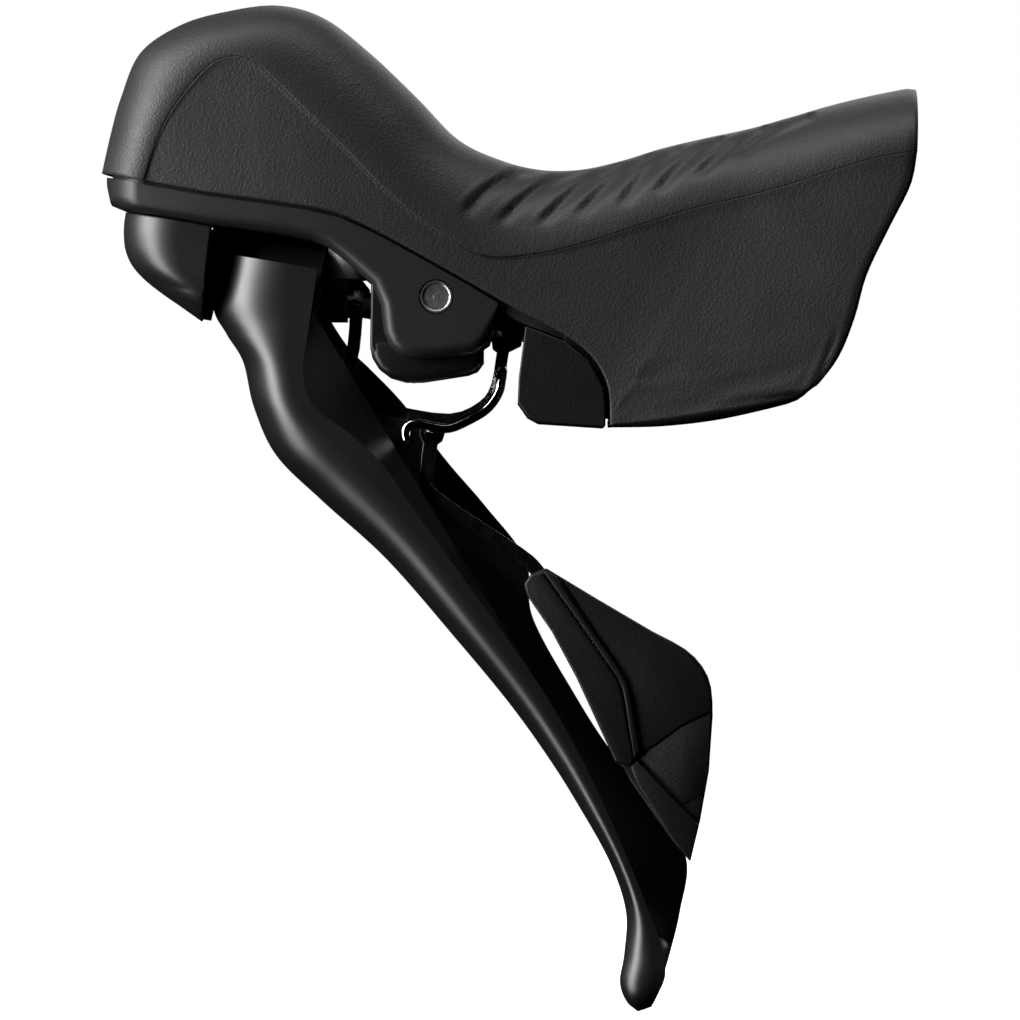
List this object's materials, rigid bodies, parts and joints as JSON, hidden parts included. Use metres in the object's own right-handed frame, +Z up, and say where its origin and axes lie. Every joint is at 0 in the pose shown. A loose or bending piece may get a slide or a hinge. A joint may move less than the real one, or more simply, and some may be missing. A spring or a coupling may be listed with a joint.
{
  "type": "brake shift lever",
  "caption": "Hydraulic brake and shift lever for a drop handlebar: rubber hood over a bracket, swinging brake blade, shift paddle behind it, clamp band and master cylinder.",
  "frame": {"origin": "on the handlebar's axis, at the middle of the clamp band", "axes": "+X back towards the rider, +Y outboard, +Z up; the nose of the hood points to -X"},
  "size_m": [0.1495, 0.0412, 0.1851],
  "materials": {
    "hood_rubber": "moulded rubber with a fine leathery grain",
    "bracket_moulding": "satin fibre-filled nylon",
    "cap_lacquer": "satin lacquered moulding",
    "blade_lacquer": "satin black lacquer on forged alloy",
    "paddle_moulding": "fine-textured black moulding",
    "black_steel": "black plated steel",
    "turned_steel": "turned stainless steel",
    "bright_chrome": "bright plated steel wire",
    "spring_steel": "drawn spring wire",
    "machined_alloy": "machined alloy",
    "bearing_brass": "turned brass",
    "seal_rubber": "smooth seal rubber"
  },
  "bodies": {
    "bracket": {"bracket_body": "bracket_moulding", "hood": "hood_rubber", "lower_cover": "bracket_moulding", "lower_cover_screw": "turned_steel", "pivot_pin": "turned_steel", "pivot_clip": "spring_steel", "lever_return_spring": "spring_steel", "reservoir_lid": "bracket_moulding", "reservoir_diaphragm": "seal_rubber", "lid_screw_front": "turned_steel", "lid_screw_rear": "turned_steel", "bleed_screw": "turned_steel", "cylinder_liner": "machined_alloy", "piston_spring": "spring_steel", "hose_fitting": "machined_alloy", "hose_olive": "bearing_brass", "hose_insert": "bearing_brass", "cable_guide": "bracket_moulding", "reach_screw": "turned_steel", "clamp_band": "turned_steel", "clamp_bolt": "turned_steel", "clamp_nut": "machined_alloy"},
    "carrier": {"lever_carrier": "black_steel", "carrier_bush_near": "bearing_brass", "carrier_bush_far": "bearing_brass", "cam_roller": "turned_steel", "cam_roller_pin": "turned_steel", "shift_axle": "turned_steel", "axle_nut": "turned_steel", "front_plate": "black_steel", "ratchet_case": "black_steel", "rear_stub_pin": "turned_steel", "stub_clip": "turned_steel", "name_cap": "cap_lacquer", "cap_screw": "turned_steel"},
    "main_lever": {"lever_blade": "blade_lacquer", "lever_hub": "blade_lacquer", "hub_bush": "bearing_brass", "hub_cover": "blade_lacquer", "blade_screw_front": "turned_steel", "blade_screw_rear": "turned_steel", "tang_rivet_upper": "turned_steel", "tang_rivet_lower": "turned_steel", "lever_shift_spring": "spring_steel", "holding_pawl": "turned_steel"},
    "paddle": {"paddle_yoke": "black_steel", "paddle_arm": "black_steel", "paddle_rod": "bright_chrome", "arm_rivet": "bright_chrome", "shift_paddle": "paddle_moulding", "grip_rivet_upper": "turned_steel", "grip_rivet_lower": "turned_steel", "paddle_spring": "spring_steel"},
    "drum": {"cable_drum": "machined_alloy", "ratchet_wheel": "turned_steel"},
    "piston": {"piston": "machined_alloy", "primary_seal": "seal_rubber", "secondary_seal": "seal_rubber", "push_rod": "turned_steel"}
  },
  "joints": [
    {"name": "brake_pull", "type": "hinge", "parent": "bracket", "child": "carrier", "pos_m": [-0.0689, 0, -0.0169], "axis": [0, -1, 0], "range_deg": [0, 17], "stiffness_Nm_per_rad": 0.6, "springref_deg": -28.65},
    {"name": "main_shift", "type": "hinge", "parent": "carrier", "child": "main_lever", "pos_m": [-0.0828, 0, -0.018], "axis": [-0.9851, 0, 0.1719], "range_deg": [0, 14], "stiffness_Nm_per_rad": 0.3, "springref_deg": -28.65},
    {"name": "paddle_shift", "type": "hinge", "parent": "main_lever", "child": "paddle", "pos_m": [-0.0828, 0, -0.018], "axis": [-0.9851, 0, 0.1719], "range_deg": [0, 9], "stiffness_Nm_per_rad": 0.15, "springref_deg": -28.65},
    {"name": "drum_turn", "type": "hinge", "parent": "carrier", "child": "drum", "pos_m": [-0.0828, 0, -0.018], "axis": [-0.9851, 0, 0.1719], "range_deg": [0, 14]},
    {"name": "piston_slide", "type": "slide", "parent": "bracket", "child": "piston", "axis": [-0.9659, 0, 0.2588], "range_m": [0, 0.0036], "deforming": ["piston_spring"]}
  ],
  "couplings": [
    {"joint": "piston_slide", "follows": "brake_pull", "m_per_rad": 0.0114},
    {"joint": "drum_turn", "follows": "main_shift", "ratio": 1}
  ]
}
